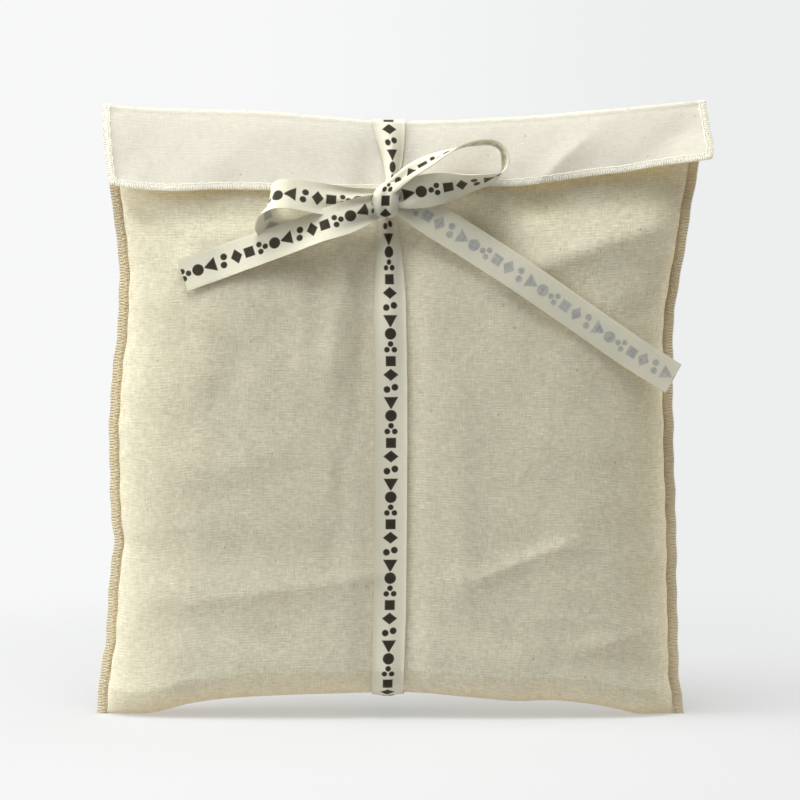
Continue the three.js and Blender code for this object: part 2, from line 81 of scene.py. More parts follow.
for name, place, width, watts in LAMPS:
    light = bpy.data.lights.new(name, "AREA")
    light.size = width
    light.energy = watts
    lamp = bpy.data.objects.new(name, light)
    lamp.location = place
    lamp.rotation_euler = (LAMP_AIM - lamp.location).to_track_quat("-Z", "Y").to_euler()
    lamp.visible_camera = False
    scene.collection.objects.link(lamp)


def wired(tree, kind, inputs=None, **settings):
    """A new shader node with its settings made and its inputs set, or linked if they're sockets."""
    node = tree.nodes.new("ShaderNode" + kind)
    for name, value in settings.items():
        setattr(node, name, value)
    for name, value in (inputs or {}).items():
        if isinstance(value, bpy.types.NodeSocket):
            tree.links.new(value, node.inputs[name])
        else:
            node.inputs[name].default_value = value
    return node


def ramp(tree, value, low, high, start=0.0, end=1.0, ease="LINEAR"):
    """A number that goes from start to end while another one goes from low to high."""
    node = wired(tree, "MapRange", {"Value": value, "From Min": low, "From Max": high,
                                    "To Min": start, "To Max": end}, interpolation_type=ease)
    return node.outputs["Result"]


def split(tree, vector):
    """The X, Y and Z of a place or direction."""
    return wired(tree, "SeparateXYZ", {0: vector}).outputs


def blended(tree, share, one, other):
    """A colour between two others. Each is a socket, or red, green and blue."""
    ends = {name: colour if isinstance(colour, bpy.types.NodeSocket) else (*colour, 1)
            for name, colour in (("A", one), ("B", other))}
    return wired(tree, "Mix", {"Factor": share, **ends}, data_type="RGBA").outputs["Result"]


air = bpy.data.worlds.new("pale_air")
air.use_nodes = True
scene.world = air
tree = air.node_tree
sky = tree.nodes["Background"]
towards = split(tree, wired(tree, "TexCoord").outputs["Generated"])["X"]
at_right = ramp(tree, towards, *AIR_TURN, ease="SMOOTHSTEP")
tree.links.new(blended(tree, at_right, AIR_LEFT, AIR_RIGHT), sky.inputs["Color"])
seen = wired(tree, "LightPath").outputs["Is Camera Ray"]
tree.links.new(ramp(tree, seen, 0.0, 1.0, AIR_LIGHT), sky.inputs["Strength"])


# Floor. A sheet of white acrylic under the pouch, lit a little from below, which fades into the
# pale air further out.
FLOOR_RADIUS = 3.0
FLOOR_FADE = 0.14, 0.5  # where it starts to fade and where it is gone
FLOOR_WHITE = (0.34, 0.34, 0.34)
FLOOR_GLOW = (0.36, 0.369, 0.366)


def new_material(name, values):
    """A material with uniform values set: the material, its node tree and its Principled shader."""
    material = bpy.data.materials.new(name)
    material.use_nodes = True
    shader = material.node_tree.nodes["Principled BSDF"]
    for label, value in values.items():
        shader.inputs[label].default_value = value
    return material, material.node_tree, shader


bpy.ops.mesh.primitive_circle_add(vertices=96, radius=FLOOR_RADIUS, fill_type="NGON")
floor = bpy.context.object
floor.name = "floor"
acrylic, tree, shader = new_material("white_acrylic", {
    "Base Color": (*FLOOR_WHITE, 1),
    "Roughness": 0.9,
    "Specular IOR Level": 0.1,
    "Emission Color": (*FLOOR_GLOW, 1),
    "Emission Strength": 1,
})
place = wired(tree, "NewGeometry").outputs["Position"]
away = wired(tree, "VectorMath", {0: place}, operation="LENGTH").outputs["Value"]
tree.links.new(ramp(tree, away, *FLOOR_FADE, 1.0, 0.0, "SMOOTHSTEP"), shader.inputs["Alpha"])
floor.data.materials.append(acrylic)


# Pouch cloth. One strip of unbleached cotton muslin, folded up at the bottom, overlocked at both
# sides and filled like a thin cushion. Its back runs on over the top and hangs down as the flap.
# It stands on the two corners of the bottom fold, and the tape presses a shallow valley into it.
CLOTH = 0.5  # thickness
SEAM = 4.5  # width of the side seams
SEAM_HALF = 0.7  # half of their thickness
HEIGHT = 278
MOUTH = 262
FOLD_RADIUS = 2.4  # of the top fold, except at its ends
FOLD_END_RADIUS = 1.1
FLAP_CLEAR = 2.9  # from the front's face to the flap's, at the hem
BACK_FLATNESS = 0.94  # depth of the back next to that of the front
# The outline. SIDES and DEPTHS go by height, ARCH and TOP from left to right, and FLAP_SIDES from
# the top fold (0) to the hem (1).
SIDES = {
    "at": (0, 8, 19, 34, 63, 80, 93, 122, 152, 181, 203, 218, 233, 247, 262, 280),
    "left": (-141.5, -141, -139.4, -137, -135, -132.6, -134.2, -134.8, -133.4, -130.4, -129.4,
             -130.6, -132.8, -134, -135.4, -136.6),
    "right": (130.5, 129.5, 127.6, 127.4, 126.5, 126.2, 126, 124.8, 124, 124.7, 127.8, 130.2,
              132.6, 135, 137, 139.4),
}
ARCH = {
    "at": (-145, -119, -110, -96, -74, -35, 0, 33, 54, 67, 84, 100, 110, 135),
    "rise": (0, 0.2, 1.8, 5.4, 8, 9.6, 10.4, 7.8, 6.2, 6.6, 5.2, 2.2, 0, 0),
}
TOP = {
    "at": (-142, -110, -64, -30, -6, 20, 54, 97, 125, 145),
    "fold": (281.4, 279.4, 278, 275.2, 273.4, 274, 275.6, 279.2, 281.8, 283.6),
    "hem": (246.2, 242.2, 242.6, 241.8, 241.6, 243.2, 244.8, 250.2, 254.6, 256.8),
}
FLAP_SIDES = {
    "at": (0, 0.45, 0.8, 1),
    "left": (-136.6, -135.6, -134, -132.6),
    "right": (138.4, 140, 141.2, 140.4),
    "flare": (0, 1.5, 4, 5),
}
DEPTHS = {
    "at": (11, 20, 60, 110, 160, 200, 225, 241, 252, 262, 280),
    "depth": (19, 19.4, 20.6, 21.6, 20.8, 19.2, 15.6, 11.6, 8.4, 5.6, 2.4),
    "square": (5, 4.6, 5.6, 6, 6, 5.2, 4.4, 3.8, 3.4, 3, 3),
}
# The turn under the bottom fold, from its middle to where the cloth stands up.
BOTTOM_TURN = {
    "at": (0, 0.25, 0.5, 0.75, 1),
    "depth": (0, 5.2, 10.4, 15.4, 19),
    "lift": (0, 0.5, 2.6, 6.8, 12.4),
    "seam_lift": (0, 1.4, 3.8, 7.8, 12.8),
}
TURN_SQUARE = 5
# Soft folds: from x, z to x, z, half width, height.
FRONT_FOLDS = [
    (-112, 56, -18, 66, 7, 0.6), (-108, 76, -40, 78, 9, -0.4), (30, 65, 74, 79, 6, 0.8),
    (84, 33, 118, 41, 5, 0.8), (70, 24, 108, 26, 7, -0.5), (-126, 9.6, -106, 8.4, 3.2, 2),
    (48, 205, 112, 224, 7, 1.6), (62, 192, 110, 206, 8, -0.7), (-24, 208, -30, 165, 8, 1.3),
    (-21, 184, -30, 72, 6, -1.1), (24, 150, 28, 60, 8, 0.8), (-112, 229, -66, 231, 7, -1.8),
    (-122, 236, -105, 220, 6, -3.2), (58, 233, 120, 238, 8, -2.8), (-34, 222, -62, 214, 9, -1.4),
    (-38, 211, -14, 202, 11, -2), (-21, 186, -27, 128, 1.9, 0.5), (-33, 118, -28, 72, 2.2, 0.3),
    (-96, 54, -16, 66, 2.4, 0.45), (37, 66, 73, 81, 2.2, 0.6), (66, 47, 112, 44, 2.6, 0.42),
    (91, 34, 119, 43, 1.9, 0.45), (74, 214, 111, 223, 3, 0.42), (56, 204, 84, 213, 3, 0.3),
    (-46, 214, -44, 166, 4, 0.4), (-58, 206, -55, 160, 5, -0.35), (-88, 190, -92, 120, 7, 0.5),
    (-70, 168, -98, 132, 7, -0.45), (-104, 108, -60, 122, 8, 0.5), (54, 170, 92, 128, 9, 0.5),
    (92, 150, 104, 96, 8, -0.6), (40, 118, 66, 100, 7, -0.4), (96, 78, 110, 62, 5, 0.5),
    (-96, 34, -50, 26, 7, 0.6), (14, 34, 52, 28, 7, 0.5),
]
BACK_FOLDS = [
    (96, 66, 20, 58, 10, 1.5), (-30, 74, -92, 88, 10, 1.4), (-36, 214, -104, 226, 9, 1.6),
    (22, 210, 30, 120, 8, -1.2), (108, 214, 52, 222, 9, -1.4), (-34, 150, -30, 60, 8, 1),
    (40, 186, 74, 150, 5, 0.6), (-92, 170, -60, 128, 6, -0.6), (64, 112, 104, 96, 4, 0.5),
    (-104, 40, -58, 48, 4, 0.5),
]
FLAP_FOLDS = [
    (62, 246, 86, 268, 6, 1.7), (30, 247, 48, 266, 8, -1.4), (-96, 246, -70, 268, 9, 1.1),
    (64, 248, 82, 265, 1.6, 0.8), (-42, 250, -58, 264, 7, -0.9), (108, 256, 128, 270, 5, -0.7),
    (-128, 252, -112, 272, 7, -0.7),
]
# Short puckers where the overlock draws the cloth in: height, reach inwards, half width, depth.
LEFT_PUCKERS = [
    (12, 20, 4, 0.9), (27, 14, 3.4, -0.5), (47, 16, 4, 0.5), (70, 18, 4, -0.6), (84, 24, 4.6, 1.1),
    (101, 15, 4, -0.5), (128, 14, 4, 0.5), (160, 18, 5, -0.6), (188, 20, 5, 0.7), (207, 22, 5, -0.9),
    (228, 20, 5, 0.6),
]
RIGHT_PUCKERS = [
    (9, 18, 4, 0.8), (22, 22, 4, -0.9), (36, 16, 3.6, 0.6), (58, 18, 4, -0.5), (76, 14, 4, 0.5),
    (104, 20, 5, 0.7), (132, 16, 5, -0.5), (158, 16, 4.4, 0.5), (186, 20, 5, -0.7), (210, 22, 5, 0.8),
]
VALLEY_X, VALLEY_WIDE, VALLEY_DEEP = -6, 15, 1.8  # where the tape presses the cloth in
DENT_X, DENT_Z, DENT_WIDE, DENT_DEEP = -7.2, 232, 32, 2.2  # where the knot does
SEAM_WAVE, WAVE_START = 0.7, 0.86  # to the front and back, from this share of the half width on
SEAM_SWAY, SWAY_START = 0.22, 0.9  # to the sides
CORNER_START = 0.965  # where the turn at the bottom takes on the seams' own height
TURN_FOLDS_START = 0.6  # share of the turn from which the panels' folds show
FLAP_STIFF = 0.32  # how much less the flap stands out at its sides
FLAP_BEND = 0.86  # below 1 the flap leaves the top fold steeply
LEFT_FLARE = 1.5  # how far the flap's left corner lifts
PANEL_UNEVEN, FLAP_UNEVEN, HEM_UNEVEN = 0.16, 0.22, 0.22  # height of their soft unevenness
# Rows and columns of faces: columns from the middle to a seam, crowded towards it, and across it.
HALF_COLUMNS = 80
COLUMN_CROWDING = 1.4
FIN_COLUMNS = 4
FRONT_STEP = 1.8  # millimetres between rows
BACK_STEP = 3.4
TURN_ROWS = 16
FOLD_ROWS = 10
FLAP_ROWS = 24


def curved(t, start, leaving, end, arriving):
    """The cubic curve between two values, from the slopes at both, at a share t of the way."""
    first = (2 * t**3 - 3 * t**2 + 1) * start + (t**3 - 2 * t**2 + t) * leaving
    return first + (3 * t**2 - 2 * t**3) * end + (t**3 - t**2) * arriving


def smooth(table, column):
    """A monotone smooth curve through one column of a table, over its column at."""
    at, value = (np.array(table[name], float) for name in ("at", column))
    slope = np.diff(value) / np.diff(at)
    before, after = slope[:-1], slope[1:]
    level = before * after <= 0
    inner = np.where(level, 0, 2 * before * after / np.where(level, 1, before + after))
    slopes = np.concatenate([slope[:1], inner, slope[-1:]])

    def curve(places):
        """The curve's values at some places."""
        places = np.clip(places, at[0], at[-1])
        k = np.clip(np.searchsorted(at, places) - 1, 0, len(at) - 2)
        span = at[k + 1] - at[k]
        t = (places - at[k]) / span
        return curved(t, value[k], span * slopes[k], value[k + 1], span * slopes[k + 1])

    return curve


def mix(a, b, share):
    """A number or place between two others."""
    return a + (b - a) * share


def late(value, start):
    """0 up to a start, and from there a soft rise to 1 at 1."""
    share = np.clip((value - start) / (1 - start), 0, 1)
    return share * share * (3 - 2 * share)


def ridges(folds, x, z):
    """Height of soft ridges and troughs at places on a panel."""
    high = 0
    for x0, z0, x1, z1, wide, rise in folds:
        long = math.hypot(x1 - x0, z1 - z0)
        along = ((x - x0) * (x1 - x0) + (z - z0) * (z1 - z0)) / long
        beside = ((x - x0) * (z1 - z0) - (z - z0) * (x1 - x0)) / long
        past = np.maximum(0, np.maximum(-along, along - long))
        high = high + rise * np.exp(-((beside / wide) ** 2) - (past / (1.6 * wide)) ** 2)
    return high


def uneven(x, z, length, seed, waves=9):
    """The soft unevenness of cloth, from crossing waves of about that length; about 1 high."""
    chance = np.random.default_rng(seed)
    total = 0
    for _ in range(waves):
        angle, phase = chance.uniform(0, 2 * np.pi, 2)
        turn = 2 * np.pi / (length * chance.uniform(0.7, 1.6))
        total = total + np.sin((x * np.cos(angle) + z * np.sin(angle)) * turn + phase)
    return total / np.sqrt(waves)


left_seam, right_seam = smooth(SIDES, "left"), smooth(SIDES, "right")
arch_rise = smooth(ARCH, "rise")
fold_height, hem_height = smooth(TOP, "fold"), smooth(TOP, "hem")
half_depth, squareness = smooth(DEPTHS, "depth"), smooth(DEPTHS, "square")
flap_left, flap_right = smooth(FLAP_SIDES, "left"), smooth(FLAP_SIDES, "right")
flap_flare = smooth(FLAP_SIDES, "flare")


def valley(x):
    """How deep the tape presses the cloth in."""
    return VALLEY_DEEP * np.exp(-(((x - VALLEY_X) / VALLEY_WIDE) ** 4))


def dent(x, z):
    """How deep the knot presses the front in."""
    return DENT_DEEP * np.exp(-((x - DENT_X) ** 2 + (z - DENT_Z) ** 2) / DENT_WIDE**2)


def puckers(x, z):
    """Short gathers that run in from both side seams."""
    high = 0
    for rows, inwards in ((LEFT_PUCKERS, 1), (RIGHT_PUCKERS, -1)):
        for at, reach, wide, deep in rows:
            seam = left_seam(at) if inwards > 0 else right_seam(at)
            into = np.maximum(0, (x - seam) * inwards)
            slant = z - at - 0.12 * into
            high = high + deep * np.exp(-((slant / wide) ** 2) - (into / reach) ** 2)
    return high


def seam_wave(u, z):
    """How far the side seams, with the cloth next to them, wave to the front and back."""
    wave = np.where(u < 0, uneven(z, 0, length=46, seed=3, waves=5),
                    uneven(z, 0, length=52, seed=8, waves=5))
    return SEAM_WAVE * late(np.abs(u), WAVE_START) * wave


def panel(u, lift, side, depth, square, shaped=1.0, seam_half=SEAM_HALF):
    """Places on the front (side -1) or back (1): u runs from seam to seam, past 1 on a seam."""
    inside = np.clip(u, -1, 1)
    x = mix(left_seam(lift) + SEAM, right_seam(lift) - SEAM, (inside + 1) / 2) + (u - inside) * SEAM
    sway = uneven(lift, 0, length=17, seed=5, waves=5)
    x = x + np.sign(u) * late(np.abs(u), SWAY_START) * SEAM_SWAY * sway
    share = lift / HEIGHT
    z = lift + (1 - share) * arch_rise(x) + share * (fold_height(x) - HEIGHT)
    full = np.sqrt(1 - np.abs(inside) ** square)
    folds = ridges(FRONT_FOLDS, x, z) - dent(x, z) if side < 0 else ridges(BACK_FOLDS, x, z)
    clear = 1 - np.exp(-(((x - VALLEY_X) / (1.1 * VALLEY_WIDE)) ** 4))
    soft = uneven(x, z, length=24, seed=21 if side < 0 else 22)
    folds = folds + clear * PANEL_UNEVEN * soft + puckers(x, z)
    flat = 1 if side < 0 else BACK_FLATNESS
    out = mix(seam_half, depth * flat, full) + shaped * (folds - valley(x)) * full
    return np.stack([x, side * out + seam_wave(u, z), z], -1)


def upright(u, lift, side):
    """Places on a panel above the turn at the bottom."""
    return panel(u, lift, side, half_depth(lift), squareness(lift))


def turned(u, share, side):
    """Places on the turn under the bottom fold, from its middle (0) to where it stands up (1)."""
    names = ("lift", "seam_lift", "depth")
    lift, seam_lift, depth = (smooth(BOTTOM_TURN, name)(share) for name in names)
    lift = mix(lift, seam_lift, late(np.abs(u), CORNER_START))
    seam_half = SEAM_HALF * np.minimum(1, share / 0.12)
    return panel(u, lift, side, depth, TURN_SQUARE, late(share, TURN_FOLDS_START), seam_half)


def flap_at(u, share):
    """Places on the outer face of the flap, from the top fold (0) to its hem (1)."""
    inside = np.clip(u, -1, 1)
    x = mix(flap_left(share) + SEAM, flap_right(share) - SEAM, (inside + 1) / 2)
    x = x + (u - inside) * SEAM
    top = fold_height(x) - FOLD_RADIUS
    hem = hem_height(x) + HEM_UNEVEN * uneven(x, 0, length=30, seed=14, waves=6)
    z = mix(top, hem, share)
    radius = mix(FOLD_RADIUS, FOLD_END_RADIUS, np.abs(inside) ** 8)
    stiff = 1 - FLAP_STIFF * np.abs(inside) ** 4
    over = half_depth(HEIGHT - (fold_height(x) - hem)) + FLAP_CLEAR
    clear = mix(radius, over * stiff, share**FLAP_BEND)
    right, left = np.maximum(0, inside) ** 6, np.maximum(0, -inside) ** 8
    corner = right * flap_flare(share) + left * share * LEFT_FLARE
    folds = ridges(FLAP_FOLDS, x, z) + FLAP_UNEVEN * uneven(x, z, length=26, seed=31)
    shaped = folds * share - valley(x) * np.minimum(1, 2 * share)
    return np.stack([x, -(clear + corner + shaped), z], -1)


def folded(u, angle):
    """Places round the top fold, from the back (0) to the front (pi)."""
    start = flap_at(u, np.zeros_like(angle))
    radius = -start[..., 1]
    top = fold_height(start[..., 0]) - FOLD_RADIUS
    z = top + FOLD_RADIUS * np.sin(angle)
    return np.stack([start[..., 0], radius * np.cos(angle), z], -1)


half = 1 - (1 - np.arange(1, HALF_COLUMNS + 1) / HALF_COLUMNS) ** COLUMN_CROWDING
half = np.concatenate([half, 1 + np.arange(1, FIN_COLUMNS + 1) / FIN_COLUMNS])
u = np.concatenate([-half[::-1], [0], half])[None, :]
stand = BOTTOM_TURN["lift"][-1]
front_lifts = np.linspace(MOUTH, stand, round((MOUTH - stand) / FRONT_STEP) + 1)[:-1, None]
back_top = HEIGHT - FOLD_RADIUS
back_lifts = np.linspace(stand, back_top, round((back_top - stand) / BACK_STEP) + 1)[1:-1, None]
turn_shares = (np.arange(1, TURN_ROWS + 1) / TURN_ROWS)[:, None]
fold_angles = (np.pi * np.arange(FOLD_ROWS) / FOLD_ROWS)[:, None]
flap_shares = (np.arange(FLAP_ROWS + 1) / FLAP_ROWS)[:, None]
cloth_face = np.concatenate([
    upright(u, front_lifts, -1),
    turned(u, turn_shares[::-1], -1),
    turned(u, np.zeros((1, 1)), 1),
    turned(u, turn_shares, 1),
    upright(u, back_lifts, 1),
    folded(u, fold_angles),
    flap_at(u, flap_shares),
])
bottom_row = len(front_lifts) + TURN_ROWS
fold_row = bottom_row + 1 + TURN_ROWS + len(back_lifts)
flap_row = fold_row + FOLD_ROWS


def outward(face):
    """Directions out of a grid of points, away from the side where its inner layer goes."""
    across = np.gradient(face, axis=1)
    along = np.gradient(face, axis=0)
    normal = np.cross(along, across)
    return normal / np.maximum(np.linalg.norm(normal, axis=2, keepdims=True), 1e-9)


def lengths(points, axis=0):
    """Distance along a grid of points, from 0, in the direction of one axis."""
    steps = np.linalg.norm(np.diff(points, axis=axis), axis=-1)
    return np.insert(np.cumsum(steps, axis=axis), 0, 0, axis=axis)


def closed_sheet(face, back, flat):
    """Points, quads, flat places and material numbers of a thin sheet between two grids."""
    rows, columns = face.shape[:2]
    top = np.arange(rows * columns).reshape(rows, columns)
    under = top + rows * columns
    corners = (np.s_[:-1, :-1], np.s_[1:, :-1], np.s_[1:, 1:], np.s_[:-1, 1:])
    outer = np.stack([top[c] for c in corners], -1).reshape(-1, 4)
    inner = np.stack([under[c] for c in corners[::-1]], -1).reshape(-1, 4)
    rim = np.concatenate([top[:-1, 0], top[-1, :-1], top[:0:-1, -1], top[0, :0:-1]])
    sides = np.stack([rim, rim + rows * columns], -1)
    edge = np.concatenate([sides[:, ::-1], np.roll(sides, -1, 0)], 1)
    points = np.concatenate([face.reshape(-1, 3), back.reshape(-1, 3)])
    places = np.concatenate([flat.reshape(-1, 2)] * 2)
    kinds = np.repeat([0, 1, 0], [len(outer), len(inner), len(edge)])
    return points, np.concatenate([outer, inner, edge]), places, kinds


SHARP_DEGREES = 50  # edges that turn further than this look sharp


def new_piece(name, parts, uv_name, materials):
    """One object from several lots of points, quads, flat places and material numbers."""
    points, quads, places, kinds = (list(lot) for lot in zip(*parts))
    start = np.cumsum([0] + [len(lot) for lot in points[:-1]])
    quads = np.concatenate([lot + first for lot, first in zip(quads, start)])
    mesh = bpy.data.meshes.new(name)
    mesh.from_pydata((np.concatenate(points) * MM).tolist(), [], quads.tolist())
    layer = mesh.uv_layers.new(name=uv_name)
    layer.data.foreach_set("uv", (np.concatenate(places)[quads.ravel()] * MM).ravel())
    mesh.polygons.foreach_set("material_index", np.concatenate(kinds))
    mesh.shade_smooth()
    mesh.set_sharp_from_angle(angle=math.radians(SHARP_DEGREES))
    for material in materials:
        mesh.materials.append(material)
    piece = bpy.data.objects.new(name, mesh)
    scene.collection.objects.link(piece)
    return piece


# The tables have their origin at the seams' plane; the frame has it under the middle of the box.
frame_low, frame_high = (np.array(corner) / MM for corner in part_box("pouch_cloth"))
cloth_low, cloth_high = cloth_face.min((0, 1)), cloth_face.max((0, 1))
to_frame = ((frame_low + frame_high) - (cloth_low + cloth_high)) / 2
to_frame[2] = 0
cloth_face = cloth_face + to_frame
cloth_out = outward(cloth_face)
cloth_back = cloth_face - CLOTH * cloth_out
flat_across = lengths(cloth_face, 1)
flat_across = flat_across - flat_across[:, -1:] / 2
flat_along = np.repeat(lengths(cloth_face[:, HALF_COLUMNS + FIN_COLUMNS])[:, None], u.size, 1)
cloth_flat = np.stack([flat_across, flat_along], -1)


def shader_group(name, inputs, outputs):
    """An empty node group that turns a place and named numbers into other named numbers: the
    group, what it is given and what it gives back."""
    group = bpy.data.node_groups.new(name, "ShaderNodeTree")
    group.interface.new_socket(name="Place", in_out="INPUT", socket_type="NodeSocketVector")
    for in_out, labels in (("INPUT", inputs), ("OUTPUT", outputs)):
        for label in labels:
            group.interface.new_socket(name=label, in_out=in_out, socket_type="NodeSocketFloat")
    given = group.nodes.new("NodeGroupInput").outputs
    back = group.nodes.new("NodeGroupOutput").inputs
    return group, given, back


def placed(tree, group, inputs):
    """A node group put into a material with its values; gives its outputs."""
    return wired(tree, "Group", inputs, node_tree=group).outputs


def calc(tree, operation, *values):
    """The result of one arithmetic node on numbers or sockets."""
    return wired(tree, "Math", dict(enumerate(values)), operation=operation).outputs[0]


def times(tree, one, other):
    """Two numbers or sockets multiplied."""
    return calc(tree, "MULTIPLY", one, other)


def sloped(tree, number, slope, start):
    """A number times a slope, plus a start."""
    return calc(tree, "MULTIPLY_ADD", number, slope, start)


def between(tree, share, one, other):
    """A number between two others."""
    return wired(tree, "Mix", {"Factor": share, "A": one, "B": other}).outputs[0]


def scaled(tree, vector, factor):
    """A place or colour multiplied by one number."""
    return wired(tree, "VectorMath", {0: vector, "Scale": factor}, operation="SCALE").outputs[0]


def noise(tree, place, scale, detail, dimensions="3D"):
    """Soft random change between 0 and 1."""
    inputs = {"Vector": place, "Scale": scale, "Detail": detail}
    return wired(tree, "TexNoise", inputs, noise_dimensions=dimensions).outputs["Fac"]


THREAD_STEP = 7.37  # how far apart two neighbouring threads lie in the noise that varies them


def streaks(tree, along, thread, length, seed):
    """Noise that changes slowly along a thread and at once from one thread to the next."""
    place = wired(tree, "CombineXYZ", {
        "X": calc(tree, "DIVIDE", along, length),
        "Y": sloped(tree, thread, THREAD_STEP, seed),
    })
    return noise(tree, place.outputs[0], scale=1.0, detail=1.0, dimensions="2D")


WARP_FALL, WEFT_FALL = 2.2, 3.2  # how steeply a thread falls away to its sides
PAIRING = 0.34  # how much every other thread stands out where threads lie in pairs
WEFT_BANDS = 0.62  # share of the bands that run with the weft
FLECK_STRETCH = (1.0, 0.6, 1.0)  # makes the flecks longer along the cloth than across it


def plain_weave():
    """Threads over and under each other, each with thick and thin places along its length."""
    tree, given, back = shader_group("plain_weave", ("Pitch", "Slub length", "Patch"),
                                     ("Height", "Slub"))
    flat = split(tree, given["Place"])
    spread = scaled(tree, given["Place"], calc(tree, "DIVIDE", 1.0, given["Patch"]))
    patch = noise(tree, spread, scale=1.0, detail=2.0, dimensions="2D")
    counted = []
    for axis, steepness in (("X", WARP_FALL), ("Y", WEFT_FALL)):
        turns = calc(tree, "DIVIDE", flat[axis], given["Pitch"])
        number = calc(tree, "FLOOR", turns)
        middle = calc(tree, "SUBTRACT", calc(tree, "FRACT", turns), 0.5)
        fall = times(tree, times(tree, middle, middle), steepness)
        counted.append((number, calc(tree, "SUBTRACT", 1.0, fall)))
    (warp, warp_top), (weft, weft_top) = counted
    weft_up = calc(tree, "FLOORED_MODULO", calc(tree, "ADD", warp, weft), 2.0)
    slubs = []
    # axis along the threads, their numbers, a seed, and between which patches they lie in pairs
    sets = (("Y", warp, 3.1, 0.5, 0.34), ("X", weft, 41.7, 0.44, 0.62))
    for along, thread, seed, rare, full in sets:
        slub = streaks(tree, flat[along], thread, given["Slub length"], seed)
        paired = calc(tree, "SUBTRACT", calc(tree, "FLOORED_MODULO", thread, 2.0), 0.5)
        shows = ramp(tree, patch, rare, full, 0.0, PAIRING)
        slubs.append(sloped(tree, paired, shows, slub))
    top = between(tree, weft_up, warp_top, weft_top)
    slub = between(tree, sloped(tree, weft_up, 0.4, 0.4), *slubs)
    tree.links.new(times(tree, top, calc(tree, "ADD", slub, 0.4)), back["Height"])
    tree.links.new(slub, back["Slub"])
    return tree


def thread_bands():
    """Bands of a few threads that are closer or thicker than the rest, in both directions."""
    tree, given, back = shader_group("thread_bands", ("Width", "Length"), ("Bands",))
    flat = split(tree, given["Place"])
    found = []
    for along, across, shift in (("X", "Y", 0.0), ("Y", "X", 9.3)):
        place = wired(tree, "CombineXYZ", {
            "X": calc(tree, "DIVIDE", flat[along], given["Length"]),
            "Y": calc(tree, "DIVIDE", flat[across], given["Width"]),
            "Z": shift,
        })
        found.append(noise(tree, place.outputs[0], scale=1.0, detail=2.0))
    weftways, warpways = found
    warp_share = times(tree, warpways, 1 - WEFT_BANDS)
    both = sloped(tree, weftways, WEFT_BANDS, warp_share)
    tree.links.new(both, back["Bands"])
    return tree


def seed_flecks():
    """Small specks of husk in unbleached cotton: dark in a few places, none in most."""
    tree, given, back = shader_group("seed_flecks", ("Spacing", "Size", "Share"), ("Fleck",))
    spread = wired(tree, "VectorMath", {0: given["Place"], 1: FLECK_STRETCH}, operation="MULTIPLY")
    spaced = scaled(tree, spread.outputs[0], calc(tree, "DIVIDE", 1.0, given["Spacing"]))
    cells = wired(tree, "TexVoronoi", {"Vector": spaced, "Scale": 1.0}, voronoi_dimensions="2D")
    chance = wired(tree, "SeparateColor", {0: cells.outputs["Color"]}).outputs
    there = calc(tree, "LESS_THAN", chance["Red"], given["Share"])
    size = calc(tree, "DIVIDE", given["Size"], given["Spacing"])
    size = times(tree, size, sloped(tree, chance["Green"], 0.7, 0.5))
    reach = calc(tree, "DIVIDE", cells.outputs["Distance"], size)
    near = ramp(tree, reach, 0.6, 1.1, 1.0, 0.0)
    tree.links.new(times(tree, there, near), back["Fleck"])
    return tree


WEAVE, BANDS, FLECKS = plain_weave(), thread_bands(), seed_flecks()
FLAP_STARTS = flat_along[flap_row, 0]
PAINTED_SHADE_FADE = 8  # length over which the body's painted shade and fuller thread contrast give way to the flap's look, before the flap starts
FLAP_EVENNESS = 0.55  # how much less the threads show on the flap, painted as if its brighter light washed them out
FLECK_DARKNESS = 0.42
COTTON = (0.737, 0.763, 0.77)
SPREAD = (0.95, 0.90, 0.78)  # colour of the light that spreads through its threads
STRAIGHT = (0.5, 0.39, 0.11)  # how much of a lamp's light comes straight through one face of it
SHEER = 0.4  # share of the light that spreads through the muslin's threads
BODY_PAINTED_SHADE = (0.95, 0.937, 0.82)  # share of its colour left on the body, where no other layers lie behind it: painted shade standing in for the light that more layers send back on the flap


def varied(tree, *changes):
    """A tone about 1 made darker and lighter by numbers between 0 and 1, each with its strength."""
    tone = 1.0
    for change, strength in changes:
        factor = sloped(tree, change, strength, 1 - strength / 2)
        tone = times(tree, tone, factor)
    return tone


def bumpy(tree, shader, height, strength, deep):
    """Makes a surface look raised and sunk by a height that changes over it."""
    bump = wired(tree, "Bump", {"Height": height, "Strength": strength, "Distance": deep})
    tree.links.new(bump.outputs["Normal"], shader.inputs["Normal"])


def sheer(tree, solid, share, spread, straight=None):
    """Finishes a material that spreads a share of the light through it, in one colour, and may
    let a lamp's light come straight through, in another."""
    spreads = wired(tree, "BsdfTranslucent", {"Color": (*spread, 1)})
    look = wired(tree, "MixShader", {0: share, 1: solid.outputs[0], 2: spreads.outputs[0]})
    if straight:
        clear = wired(tree, "BsdfTransparent", {"Color": (*straight, 1)})
        shadow = wired(tree, "LightPath").outputs["Is Shadow Ray"]
        look = wired(tree, "MixShader", {0: shadow, 1: look.outputs[0], 2: clear.outputs[0]})
    tree.links.new(look.outputs[0], tree.nodes["Material Output"].inputs["Surface"])


